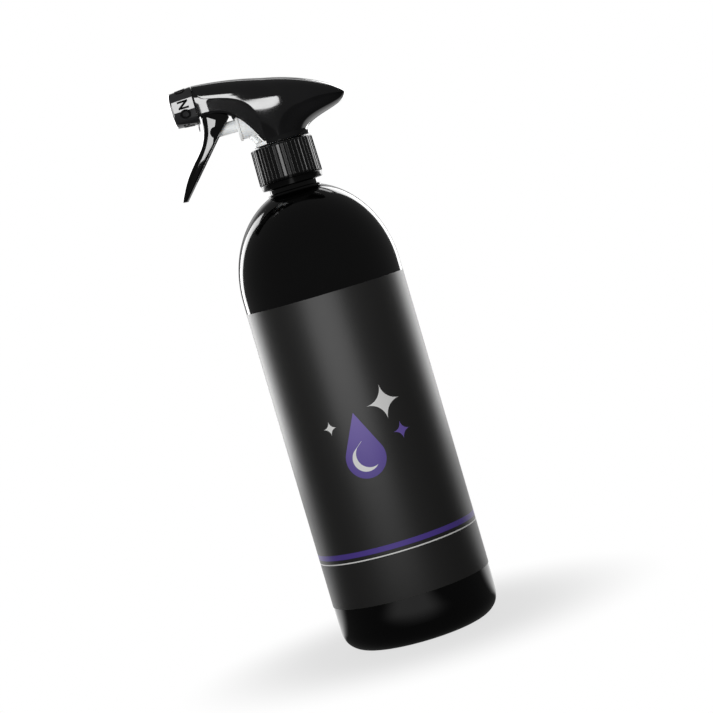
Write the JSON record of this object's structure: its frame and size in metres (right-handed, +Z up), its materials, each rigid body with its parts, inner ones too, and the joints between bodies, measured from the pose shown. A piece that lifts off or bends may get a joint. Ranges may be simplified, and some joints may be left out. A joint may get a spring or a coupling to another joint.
{
  "type": "trigger spray bottle",
  "caption": "Round bottle with a domed shoulder and a wrap label, and a screw-on trigger pump head with a turning nozzle, for spraying lens or glass cleaner.",
  "frame": {"origin": "centre of the bottle's foot, on the surface it stands on", "axes": "+Z up along the bottle's axis, -X the way the nozzle points, so +X is towards the tail"},
  "size_m": [0.0939, 0.08, 0.2889],
  "materials": {
    "bottle_pet": "glossy black blown plastic",
    "label_film": "satin printed film in dark grey",
    "collar_black": "semi-gloss black moulding",
    "gloss_black": "high-gloss black moulding",
    "natural_pp": "milky uncoloured moulding",
    "gasket_foam": "soft white foam",
    "seal_soft": "soft pale rubber",
    "valve_rubber": "black rubber",
    "spring_steel": "bright stainless steel"
  },
  "bodies": {
    "bottle": {"bottle": "bottle_pet", "label": "label_film"},
    "head": {"neck_gasket": "gasket_foam", "neck_adapter": "natural_pp", "dip_tube": "natural_pp", "pump_body": "natural_pp", "shroud": "gloss_black", "spinner": "natural_pp", "nozzle_seal": "valve_rubber", "return_spring": "spring_steel", "outlet_spring": "spring_steel"},
    "collar": {"screw_collar": "collar_black"},
    "trigger": {"trigger": "gloss_black"},
    "piston": {"piston": "natural_pp", "pressure_seal": "seal_soft", "vent_seal": "seal_soft"},
    "nozzle": {"nozzle_cap": "gloss_black", "orifice_insert": "gloss_black"},
    "inlet_valve": {"inlet_ball": "spring_steel"},
    "outlet_valve": {"outlet_valve": "valve_rubber"}
  },
  "joints": [
    {"name": "head_lift", "type": "slide", "parent": "bottle", "child": "head", "axis": [0, 0, 1], "range_m": [0, 0.0063]},
    {"name": "collar_turn", "type": "hinge", "parent": "head", "child": "collar", "pos_m": [0, 0, 0.24], "axis": [0, 0, 1], "range_deg": [0, 545]},
    {"name": "trigger_pull", "type": "hinge", "parent": "head", "child": "trigger", "pos_m": [-0.0295, 0, 0.2794], "axis": [0, -1, 0], "range_deg": [0, 20], "stiffness_Nm_per_rad": 0.25, "springref_deg": -40.11},
    {"name": "piston_slide", "type": "slide", "parent": "head", "child": "piston", "axis": [1, 0, 0], "range_m": [0, 0.0058], "deforming": ["return_spring"]},
    {"name": "nozzle_turn", "type": "hinge", "parent": "head", "child": "nozzle", "pos_m": [-0.0415, 0, 0.2794], "axis": [-1, 0, 0], "continuous": true},
    {"name": "inlet_lift", "type": "slide", "parent": "head", "child": "inlet_valve", "axis": [0, 0, 1], "range_m": [0, 0.001]},
    {"name": "outlet_open", "type": "slide", "parent": "head", "child": "outlet_valve", "axis": [-1, 0, 0], "range_m": [0, 0.001], "stiffness_N_per_m": 60, "springref_m": -0.003, "deforming": ["outlet_spring"]}
  ],
  "couplings": [
    {"joint": "collar_turn", "follows": "head_lift", "rad_per_m": 1496},
    {"joint": "piston_slide", "follows": "trigger_pull", "m_per_rad": 0.016031}
  ]
}
